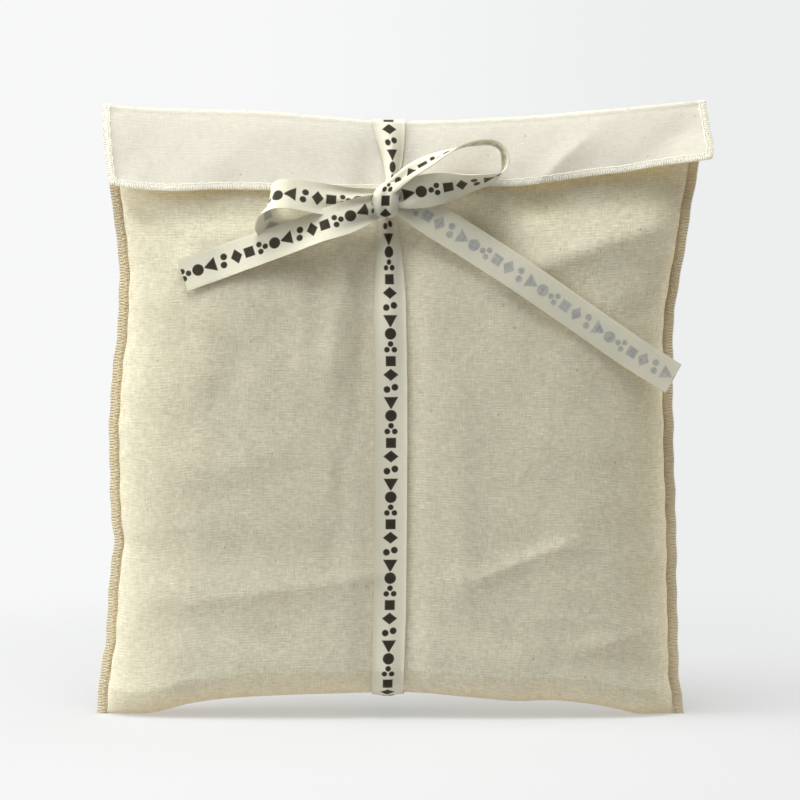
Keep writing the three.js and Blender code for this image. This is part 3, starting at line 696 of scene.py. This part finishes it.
def muslin():
    """The pouch's cloth. The body is painted darker and yellower than the flap, as shade: the flap
    hangs in front of two more layers, which send more light back.
    """
    material, tree, shader = new_material("unbleached_muslin", {
        "Roughness": 0.92, "Specular IOR Level": 0.2, "Sheen Weight": 0.1, "Sheen Roughness": 0.35,
    })
    place = wired(tree, "UVMap", uv_map="Cloth").outputs["UV"]
    along = split(tree, place)["Y"]
    on_flap = ramp(tree, along, (FLAP_STARTS - PAINTED_SHADE_FADE) * MM, FLAP_STARTS * MM)
    # The body's colour is darkened and yellowed as painted shade; the flap keeps the full colour.
    body = [part * share for part, share in zip(COTTON, BODY_PAINTED_SHADE)]
    colour = blended(tree, on_flap, body, COTTON)
    weave = placed(tree, WEAVE, {"Place": place, "Pitch": 0.615 * MM, "Slub length": 3.2 * MM,
                                "Patch": 9 * MM})
    bands = placed(tree, BANDS, {"Place": place, "Width": 0.9 * MM, "Length": 5 * MM})["Bands"]
    flecks = placed(tree, FLECKS, {"Place": place, "Spacing": 6 * MM, "Size": 0.42 * MM,
                                   "Share": 0.12})
    cloud = noise(tree, place, scale=38.0, detail=3.0)
    # The weave's height also darkens the colour in the low places between the threads: painted shade.
    tone = varied(tree, (weave["Slub"], 0.68), (weave["Height"], 0.1), (bands, 0.75), (cloud, 0.1))
    tone = between(tree, times(tree, on_flap, FLAP_EVENNESS), tone, 1.0)
    speck = calc(tree, "SUBTRACT", 1.0, times(tree, flecks["Fleck"], FLECK_DARKNESS))
    tone = times(tree, tone, speck)
    tree.links.new(scaled(tree, colour, tone), shader.inputs["Base Color"])
    height = calc(tree, "ADD", weave["Height"], times(tree, bands, 1.4))
    bumpy(tree, shader, height, strength=0.65, deep=0.12 * MM)
    sheer(tree, shader, SHEER, SPREAD, STRAIGHT)
    return material


cloth_lots = [closed_sheet(cloth_face, cloth_back, cloth_flat)]
pouch = new_piece("muslin_pouch", cloth_lots, "Cloth", [muslin()])
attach(pouch, "root")
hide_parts("pouch_cloth")


# Overlock of the side seams. Thread coloured beige, partly as painted shade on the flap's off-white
# thread, holds
# the two layers together: close loops run from a row inside the seam to the cut edges and round them,
# on both faces, with short stitches across.
THREAD_SIDES = 4
LOOP_CHANGE = 0.05  # how much the stitches differ from each other


def unit(vectors):
    """Directions with a length of one."""
    return vectors / np.linalg.norm(vectors, axis=-1, keepdims=True)


def tube(path, radius):
    """Points, quads, flat places and material numbers of a round thread along a path."""
    along = unit(np.gradient(path, axis=0))
    across = np.zeros_like(path)
    held = np.cross(along[0], (0.31, 0.52, 0.8))  # any direction that no thread starts in
    for k, direction in enumerate(along):
        held = unit(held - direction * held.dot(direction))
        across[k] = held
    beside = np.cross(along, across)
    angle = (2 * np.pi * np.arange(THREAD_SIDES) / THREAD_SIDES)[None, :, None]
    ring = path[:, None] + radius * (np.cos(angle) * across[:, None] + np.sin(angle) * beside[:, None])
    index = np.arange(len(path) * THREAD_SIDES).reshape(len(path), THREAD_SIDES)
    turned_on = np.roll(index, -1, 1)
    quads = np.stack([index[:-1], turned_on[:-1], turned_on[1:], index[1:]], -1).reshape(-1, 4)
    far = np.repeat(lengths(path)[:, None], THREAD_SIDES, 1)
    round_it = np.broadcast_to(np.arange(THREAD_SIDES) / THREAD_SIDES, far.shape)
    flat = np.stack([round_it, far], -1).reshape(-1, 2)
    return ring.reshape(-1, 3), quads, flat, np.zeros(len(quads), int)


def resampled(rows, places):
    """Rows of numbers along a line, taken at other distances along it."""
    far = lengths(rows[:, :3])
    return np.stack([np.interp(places, far, column) for column in rows.T], -1)


def overlocked(edge, inward, front, pitch, half_thick, radius, span, tick=None, needle=None):
    """Threads of one overlocked edge, along its places, directions into the cloth and directions
    out of its front. Span says between which distances from the edge the loops run, tick where
    short stitches lie across them, and needle where a row of straight stitches lies."""
    far = lengths(edge)[-1]
    line = np.concatenate([edge, inward, front], 1)
    threads = []

    def laid(steps):
        """A path from steps along, inward and outward, in stitches and millimetres."""
        along, into, out = np.array(steps, float).reshape(-1, 3).T
        into = into * (1 + LOOP_CHANGE * uneven(along, 0, length=3.3, seed=4, waves=5))
        out = out * (1 + LOOP_CHANGE * uneven(along, 0, length=4.7, seed=9, waves=5))
        row = resampled(line, along * pitch)
        return row[:, :3] + into[:, None] * row[:, 3:6] + out[:, None] * row[:, 6:9]

    stitches = range(int(far / pitch - 0.25))
    over = half_thick + 0.4 * radius
    sunk = half_thick - 0.4 * radius
    rounded = over + 0.3 * radius
    # along in stitches, share of the way in from the edge, height over the seam's middle
    loop = [(0, 1, sunk), (0.25, 0.6, rounded), (0.42, 0.15, over), (0.5, 0, 0),
            (0.58, 0.15, over), (0.75, 0.6, rounded)]
    for face in (1, -1):
        shift = 0 if face > 0 else 0.5
        zigzag = [(k + shift + step, mix(*span, share), face * high)
                  for k in stitches for step, share, high in loop]
        threads.append(tube(laid(zigzag), radius))
        if tick:
            for k in stitches[::2]:
                across = [(k, tick[0], face * over),
                          (k + 0.1, mix(*tick, 0.5), face * (over + 1.4 * radius)),
                          (k + 0.2, tick[1], face * over)]
                threads.append(tube(laid(across), 1.5 * radius))
        if needle:
            row = [(k + step, needle, face * high) for k in stitches
                   for step, high in ((0, sunk), (0.5, over + 0.8 * radius))]
            threads.append(tube(laid(row), radius))
    return threads


TWIST = 0.8  # length of one turn of the plies
PLY_TURNS = 2  # times that both plies show round the thread
THREAD_SHEER = 0.25


def spun_thread(name, colour, straight):
    """Soft spun cotton thread, two plies twisted together."""
    material, tree, shader = new_material(name, {
        "Roughness": 0.8, "Specular IOR Level": 0.25, "Sheen Weight": 0.1,
    })
    place = wired(tree, "UVMap", uv_map="Thread").outputs["UV"]
    flat = split(tree, place)
    along = calc(tree, "DIVIDE", flat["Y"], TWIST * MM)
    twist = sloped(tree, flat["X"], PLY_TURNS / MM, along)
    ply = calc(tree, "ABSOLUTE", calc(tree, "SINE", times(tree, twist, math.pi)))
    fuzz = noise(tree, place, scale=900.0, detail=1.0)
    # Besides the bump, the grooves between the plies are painted darker, as shade.
    tone = times(tree, varied(tree, (ply, 0.125), (fuzz, 0.16)), 0.96)
    tree.links.new(scaled(tree, colour, tone), shader.inputs["Base Color"])
    bumpy(tree, shader, ply, strength=0.4, deep=0.1 * MM)
    sheer(tree, shader, THREAD_SHEER, colour, straight)
    return material


SEAM_STITCH = 1.3  # from one loop to the next
SEAM_THREAD = 0.26  # radius
SEAM_SPAN = -0.3, 4.9  # reach of the loops, from outside the edge inwards
SEAM_TICK = 2.4, 3.6  # the same for the short stitches across them
# The side seams' thread is darker and yellower than the flap's white thread, partly as painted shade.
BEIGE_PAINTED_SHADE = (0.82, 0.755, 0.585)
BEIGE_SHADE_STRAIGHT = (0.6, 0.52, 0.36)

seam_lots = []
for column, into_cloth in ((0, 1), (-1, -1)):
    edge = cloth_face[:bottom_row + 1, column][::-1] + (0, SEAM_HALF, 0)
    edge[0, 1] = edge[1, 1]
    inward = np.broadcast_to((into_cloth, 0, 0), edge.shape)
    front = np.broadcast_to((0, -1, 0), edge.shape)
    seam_lots += overlocked(edge, inward, front, SEAM_STITCH, SEAM_HALF, SEAM_THREAD, SEAM_SPAN,
                            tick=SEAM_TICK)
side_thread_shade = spun_thread("beige_shaded_thread", BEIGE_PAINTED_SHADE, BEIGE_SHADE_STRAIGHT)
seam_thread = new_piece("side_seam_overlock", seam_lots, "Thread", [side_thread_shade])
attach(seam_thread, "root")


# Overlock of the flap. White, softer thread in closer stitches covers the flap's hem and its two
# side edges, which run on over the top fold to the mouth at the back.
HEM_STITCH = 1.12
HEM_THREAD = 0.25
HEM_SPAN = -0.25, 3.1
HEM_NEEDLE = 2.8  # from the edge to the row of straight stitches
WHITE = (0.95, 0.94, 0.88)
WHITE_STRAIGHT = (0.62, 0.6, 0.54)

mouth_row = fold_row - round((back_top - MOUTH) / BACK_STEP)
hem_lots = []
for rim, inside in (
    (np.s_[mouth_row:, 0], np.s_[mouth_row:, FIN_COLUMNS]),
    (np.s_[mouth_row:, -1], np.s_[mouth_row:, -1 - FIN_COLUMNS]),
    (-1, -3),
):
    edge = cloth_face[rim] - cloth_out[rim] * CLOTH / 2
    inward = unit(cloth_face[inside] - edge)
    hem_lots += overlocked(edge, inward, cloth_out[rim], HEM_STITCH, CLOTH / 2, HEM_THREAD, HEM_SPAN,
                           needle=HEM_NEEDLE)
white = spun_thread("white_thread", WHITE, WHITE_STRAIGHT)
hem_thread = new_piece("flap_overlock", hem_lots, "Thread", [white])
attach(hem_thread, "root")


# Tying tape. One length of white cotton tape, woven in plain weave with firm edges and printed in
# black on one face, laid once round the pouch and tied in a bow: two loops and two free ends.
TAPE = 15  # width
TAPE_THICK = 0.42
TAPE_OFF_CLOTH = 0.25
TAPE_COLUMNS = 12
EDGE_CURL = 0.3  # how far its edges lift
FRONT_TAPE = {
    "at": (0, 60, 140, 192, 216, 232),
    "x": (-7.2, -5.6, -5.1, -5.5, -6, -7),
    "wide": (14.4, 15, 15, 14.4, 11, 8.4),
}
FLAP_TAPE = {
    "at": (0, 0.2, 0.55, 0.8, 1),
    "x": (-5.2, -4.4, -4.5, -5.4, -6.3),
    "wide": (6, 6.6, 10, 13, 15),
}
# The tape's free runs, from the knot out or round: x, y, z of the tape's middle, x, y, z of the
# direction across it, and its width.
LEFT_TAIL = [
    (-6, -20.4, 237.2, 0.1, 0, 1, 9), (-12, -21.8, 235.2, 0.15, 0, 1, 11.6),
    (-17, -24.8, 233.4, 0.2, 0.05, 1, 13), (-24, -26.6, 230.6, 0.24, 0.12, 1, 14.4),
    (-33, -26.6, 227.3, 0.28, 0.25, 1, 15), (-45, -23.6, 222.9, 0.3, 0.28, 1, 15),
    (-57, -21.4, 218.7, 0.32, 0.22, 1, 15), (-69, -19.6, 214.5, 0.34, 0.17, 1, 15),
    (-81, -18.4, 210.2, 0.36, 0.16, 1, 15), (-91, -18.2, 206.7, 0.42, 0.12, 1, 15),
    (-99.6, -17.8, 203.6, 0.5, 0.08, 1, 15),
]
RIGHT_TAIL = [
    (-7, -19.4, 238, 0.2, 0, 1, 9), (2, -20, 236, 0.6, 0, 1, 13.6),
    (14, -20.2, 229, 0.65, 0.1, 1, 15.4), (32, -20.6, 217.8, 0.63, 0.14, 1, 15.4),
    (54, -22.2, 203.6, 0.62, 0.08, 1, 15.2), (78, -21.2, 187, 0.62, 0.1, 1, 15),
    (102, -19.8, 170.4, 0.64, 0.1, 1, 15), (113, -18.8, 163.4, 0.66, 0.2, 1, 15),
    (123.4, -17.6, 156.8, 0.7, 0.3, 1, 15),
]
LEFT_LOOP = [
    (-6, -21, 237.8, 0, 0, 1, 9), (-15, -21, 238, 0.05, 0.1, 1, 10),
    (-25, -21.4, 237.6, 0.05, 0.15, 1, 12.4), (-36, -22.8, 238.4, 0.04, 0.3, 1, 14.4),
    (-46, -25, 240, 0.02, 0.5, 1, 15), (-52, -26.2, 240.8, 0.16, 0.55, 1, 15),
    (-57.6, -25.8, 239.2, 0.4, 0.5, 1, 15), (-61, -22.6, 234.8, 0.46, 0.3, 1, 15),
    (-60.4, -18.9, 228.8, 0.4, 0.05, 1, 15), (-56.4, -18.2, 223, 0.1, 0, 1, 15),
    (-48.6, -18, 221.8, -0.2, 0, 1, 14.4), (-38, -18, 225, -0.3, 0, 1, 14),
    (-26, -18.2, 229.4, -0.3, 0, 1, 12.6), (-16, -18.8, 233, -0.2, 0, 1, 11),
    (-7, -19.4, 236.2, -0.1, 0, 1, 9),
]
RIGHT_LOOP = [
    (-7.4, -20.8, 238.6, -0.1, 0, 1, 9), (-2, -21.6, 239.8, -0.06, 0, 1, 11.6),
    (3, -23.2, 240.8, -0.05, -0.1, 1, 13.8), (10, -24, 242, -0.05, -0.2, 1, 15.2),
    (18, -24.4, 243.4, -0.04, -0.4, 1, 15), (30, -24.6, 245.6, 0, -1.5, 1, 15),
    (39, -24.4, 247.6, 0.1, -2.6, 1, 15), (44.6, -24.2, 250.4, 0.4, -4, 0.6, 15),
    (46.2, -24, 255.6, 0.8, -4, 0.1, 15), (44.8, -23.8, 260.8, 0.6, -4, 0.4, 15),
    (39.6, -23.6, 263.6, 0.2, -4, 0.7, 15), (30, -23.4, 262.6, 0, -4, 0.5, 15),
    (20.8, -23.2, 259.4, 0.2, -4, -0.4, 14.6), (11.6, -23.4, 255, 0.5, -3.2, -1.3, 12.6),
    (3, -23.4, 250, 0.8, -2.2, -1.6, 9.6), (-5, -22, 243.4, 0.8, -1.4, -1.4, 8),
]
TAPE_STEP = 0.9  # between rows of faces
PLEATS = 1.5  # across a free run
PLEAT_SHARE = 0.7  # how much of the spare width the pleats take up
SWAY_LENGTH = 17
BLUR_ROWS = 13  # rows of the cloth over which the band's bends are softened
TABLE_STEPS = 24  # between two rows of a table

tape_share = np.linspace(-0.5, 0.5, TAPE_COLUMNS + 1)[None, :]


def pleat_height(wide, pleats):
    """Half height of the soft pleats that take up the tape's width where it is gathered."""
    spare = np.maximum(TAPE / wide - 1, 0)
    return PLEAT_SHARE * np.sqrt(spare) * wide / (np.pi * pleats)


def tape_lot(middle, out, printed, start):
    """One run of tape, from its middle surface and the directions out of it. Printed is 1 if its
    printed face looks that way and -1 if it looks the other way."""
    along = lengths(middle[:, TAPE_COLUMNS // 2])[:, None] + start
    flat = np.stack(np.broadcast_arrays((tape_share + 0.5) * TAPE, along), -1)
    face = middle + printed * out * TAPE_THICK / 2
    back = middle - printed * out * TAPE_THICK / 2
    return closed_sheet(face, back, flat)


def band_lot(start):
    """The tight turn round the pouch, laid on the cloth row by row from behind the knot."""
    heights = cloth_face[:, HALF_COLUMNS, 2]  # in a column near the tape
    first = int(np.argmax(heights < FRONT_TAPE["at"][-1] + 3))
    rows = np.arange(first, len(cloth_face))
    share = np.clip(1 - (rows - flap_row) / FLAP_ROWS, 0, 1)
    height = heights[rows]
    x, wide = (
        np.where(rows < bottom_row, smooth(FRONT_TAPE, name)(height), smooth(FLAP_TAPE, name)(share))
        for name in ("x", "wide")
    )
    blur = np.hanning(BLUR_ROWS) / np.hanning(BLUR_ROWS).sum()
    x, wide = (np.convolve(np.pad(v, BLUR_ROWS // 2, "edge"), blur, "valid") for v in (x, wide))
    target = x[:, None] + to_frame[0] + wide[:, None] * tape_share
    points, normals = [], []
    for row, places in zip(rows, target):
        at = np.interp(places, cloth_face[row, :, 0], np.arange(u.size))
        k = at.astype(int)
        part = (at - k)[:, None]
        points.append(mix(cloth_face[row, k], cloth_face[row, k + 1], part))
        normals.append(mix(cloth_out[row, k], cloth_out[row, k + 1], part))
    points, normals = np.array(points), np.array(normals)
    pleat = pleat_height(wide, 1)[:, None] * (1 + np.cos(2 * np.pi * tape_share))
    off = TAPE_OFF_CLOTH + TAPE_THICK / 2 + EDGE_CURL * (2 * tape_share) ** 4 + pleat
    return tape_lot(points + off[..., None] * normals, normals, 1, start)


def through(points, steps):
    """A smooth path through points, with that many steps between each two."""
    points = np.concatenate([2 * points[:1] - points[1:2], points, 2 * points[-1:] - points[-2:-1]])
    slope = (points[2:] - points[:-2]) / 2
    at = np.arange((len(slope) - 1) * steps + 1) / steps
    k = np.minimum(at.astype(int), len(slope) - 2)
    return curved((at - k)[:, None], points[1:-1][k], slope[k], points[1:-1][k + 1], slope[k + 1])


def free_lot(path, side, wide, off, printed, start):
    """A run of tape in the air, across its path; off lifts each place out of the flat."""
    out = np.cross(side, unit(np.gradient(path, axis=0)))[:, None]
    beside = side[:, None] * (wide[:, None] * tape_share)[..., None]
    return tape_lot(path[:, None] + beside + out * off[..., None], out, printed, start)


def run_lot(table, printed, start, sway=0.0):
    """One free run of the tape through the rows of its table."""
    rows = np.array(table, float)
    rows[:, :3] += to_frame
    rows[:, 3:6] = unit(rows[:, 3:6])
    path = through(rows, TABLE_STEPS)
    length = lengths(path[:, :3])[-1]
    path = resampled(path, np.linspace(0, length, int(length / TAPE_STEP)))
    along = unit(np.gradient(path[:, :3], axis=0))
    side = path[:, 3:6]
    side = unit(side - along * (side * along).sum(1, keepdims=True))
    wide = path[:, 6]
    pleat = pleat_height(wide, PLEATS)[:, None] * np.cos(2 * np.pi * PLEATS * tape_share)
    curl = EDGE_CURL * printed * (2 * tape_share) ** 2
    wave = sway * np.sin(lengths(path[:, :3]) / SWAY_LENGTH)[:, None]
    return free_lot(path[:, :3], side, wide, pleat + curl + wave, printed, start)


def print_shapes(tree, across, along):
    """Distances to the printed shapes' outlines, in millimetres and negative inside."""

    def spot(x, y, radius):
        """A round dot."""
        dx, dy = calc(tree, "SUBTRACT", across, x), calc(tree, "SUBTRACT", along, y)
        square = sloped(tree, dx, dx, times(tree, dy, dy))
        return calc(tree, "SUBTRACT", calc(tree, "SQRT", square), radius)

    def several(*spots):
        """Dots that belong together."""
        nearest = spots[0]
        for other in spots[1:]:
            nearest = calc(tree, "MINIMUM", nearest, other)
        return nearest

    wide, long = calc(tree, "ABSOLUTE", across), calc(tree, "ABSOLUTE", along)
    diamond = sloped(tree, wide, 0.66, sloped(tree, long, 0.83, -2.3))
    square = calc(tree, "SUBTRACT", calc(tree, "MAXIMUM", wide, long), 2.3)
    up = sloped(tree, wide, 0.87, sloped(tree, along, 0.5, -1.75))
    foot = sloped(tree, along, -1.0, -2.3)
    triangle = calc(tree, "MAXIMUM", up, foot)
    return [
        diamond,
        several(spot(-1.8, 0.5, 1.55), spot(1.8, -0.5, 1.55)),
        triangle,
        spot(0, 0, 2.65),
        several(spot(1.7, 1.0, 1.3), spot(-1.7, 1.0, 1.3), spot(0, -1.6, 1.3)),
        square,
    ]


def printed_row():
    """A plain row of geometric shapes along the tape: diamond, dots, triangle, disc, square."""
    tree, given, back = shader_group("printed_row", ("Tape width", "Spacing", "Softness"), ("Ink",))
    flat = split(tree, given["Place"])
    turns = calc(tree, "DIVIDE", flat["Y"], given["Spacing"])
    middle = calc(tree, "SUBTRACT", calc(tree, "FRACT", turns), 0.5)
    along = times(tree, times(tree, middle, given["Spacing"]), 1 / MM)
    across = sloped(tree, given["Tape width"], -0.5, flat["X"])
    across = times(tree, across, 1 / MM)
    index = calc(tree, "FLOORED_MODULO", calc(tree, "FLOOR", turns), 6.0)
    well_inside = times(tree, given["Softness"], -1.0)
    ink = 0.0
    for k, shape in enumerate(print_shapes(tree, across, along)):
        chosen = calc(tree, "COMPARE", index, float(k), 0.5)
        inside = ramp(tree, shape, given["Softness"], well_inside)
        ink = sloped(tree, chosen, inside, ink)
    tree.links.new(ink, back["Ink"])
    return tree


PRINT = printed_row()
TAPE_WHITE = (0.81, 0.79, 0.64)
SELVEDGE = (0.82, 0.78, 0.64)
INK = (0.016, 0.014, 0.01)
GHOST = (0.30, 0.32, 0.37)  # the print as it shows through the reverse face
TAPE_SHEER = 0.22  # share of the light that spreads through the tape
PRINT_SPACING = 6.2
FIRM_EDGE = 6.7 * MM, 7 * MM  # from the tape's middle, where its woven edge begins


def cotton_tape(name, ink_colour, strength, softness):
    """Woven tape with its print, dark on the printed face and faint on the other."""
    material, tree, shader = new_material(name, {
        "Roughness": 0.85, "Specular IOR Level": 0.25, "Sheen Weight": 0.1,
    })
    place = wired(tree, "UVMap", uv_map="Tape").outputs["UV"]
    weave = placed(tree, WEAVE, {"Place": place, "Pitch": 0.38 * MM, "Slub length": 3 * MM,
                                "Patch": 6 * MM})
    bands = placed(tree, BANDS, {"Place": place, "Width": 0.7 * MM, "Length": 5 * MM})["Bands"]
    tone = varied(tree, (weave["Slub"], 0.1), (bands, 0.12))
    across = calc(tree, "SUBTRACT", split(tree, place)["X"], TAPE / 2 * MM)
    at_edge = ramp(tree, calc(tree, "ABSOLUTE", across), *FIRM_EDGE)
    ground = blended(tree, at_edge, TAPE_WHITE, SELVEDGE)
    ink = placed(tree, PRINT, {"Place": place, "Tape width": TAPE * MM,
                               "Spacing": PRINT_SPACING * MM, "Softness": softness})["Ink"]
    thin = 1 - strength  # a thin print shows more on the threads that stand out
    worn = sloped(tree, bands, 8 * thin, 1 - 4.2 * thin)
    ink = times(tree, times(tree, ink, worn), strength)
    coloured = blended(tree, ink, ground, ink_colour)
    tree.links.new(scaled(tree, coloured, tone), shader.inputs["Base Color"])
    raised = sloped(tree, at_edge, 1.5, weave["Height"])
    bumpy(tree, shader, raised, strength=0.4, deep=0.08 * MM)
    sheer(tree, shader, TAPE_SHEER, SELVEDGE)
    return material


# The knot: a turn of the tape, gathered narrower, round the crossing runs. Its edges turn in, and
# it leans to the right at its top, where it is narrowest.
KNOT_X, KNOT_Y, KNOT_Z = -7.6, -19.6, 238
KNOT_DEEP, KNOT_TALL = 5.6, 7.9
KNOT_LEAN = 2.0
KNOT_SQUARENESS = 2.2
KNOT_WIDE, KNOT_TOP_WIDE, KNOT_BOTTOM_WIDE = 12.2, 7, 10.4
KNOT_TUCK = 2  # how far its edges turn in
KNOT_PLEAT = 0.2
KNOT_GAP = 0.08  # half of the angle left open behind it
KNOT_ROWS = 72


def knot_lot(start):
    """The turn of the tape that ties the bow, open a little behind it."""
    angle = np.linspace(KNOT_GAP, 2 * np.pi - KNOT_GAP, KNOT_ROWS)
    deep, tall = (np.sign(turn) * np.abs(turn) ** (2 / KNOT_SQUARENESS)
                  for turn in (np.cos(angle), np.sin(angle)))
    x = KNOT_X + KNOT_LEAN * np.maximum(0, tall) ** 1.5
    path = np.stack([x, KNOT_Y + KNOT_DEEP * deep, KNOT_Z + KNOT_TALL * tall], -1) + to_frame
    side = np.broadcast_to((1.0, 0, 0), path.shape)
    end_wide = np.where(tall > 0, KNOT_TOP_WIDE, KNOT_BOTTOM_WIDE)
    wide = mix(end_wide, KNOT_WIDE, np.abs(deep))
    curl = KNOT_TUCK * np.abs(2 * tape_share) ** 5 + KNOT_PLEAT * np.cos(5 * np.pi * tape_share)
    return free_lot(path, side, wide, curl, -1, start)


# Start is the place in the printed row where a run begins.
tape_lots = [
    band_lot(start=0.0),
    run_lot(LEFT_TAIL, printed=1, start=2.0, sway=0.3),
    run_lot(RIGHT_TAIL, printed=1, start=14.0, sway=0.25),
    run_lot(LEFT_LOOP, printed=1, start=8.0),
    run_lot(RIGHT_LOOP, printed=-1, start=5.0),
    knot_lot(start=13.0),
]
tape_faces = [
    cotton_tape("printed_face", INK, 1.0, 0.14),
    cotton_tape("reverse_face", GHOST, 0.62, 0.3),
]
tape = new_piece("printed_tape_bow", tape_lots, "Tape", tape_faces)
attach(tape, "root")
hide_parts("tying_tape")
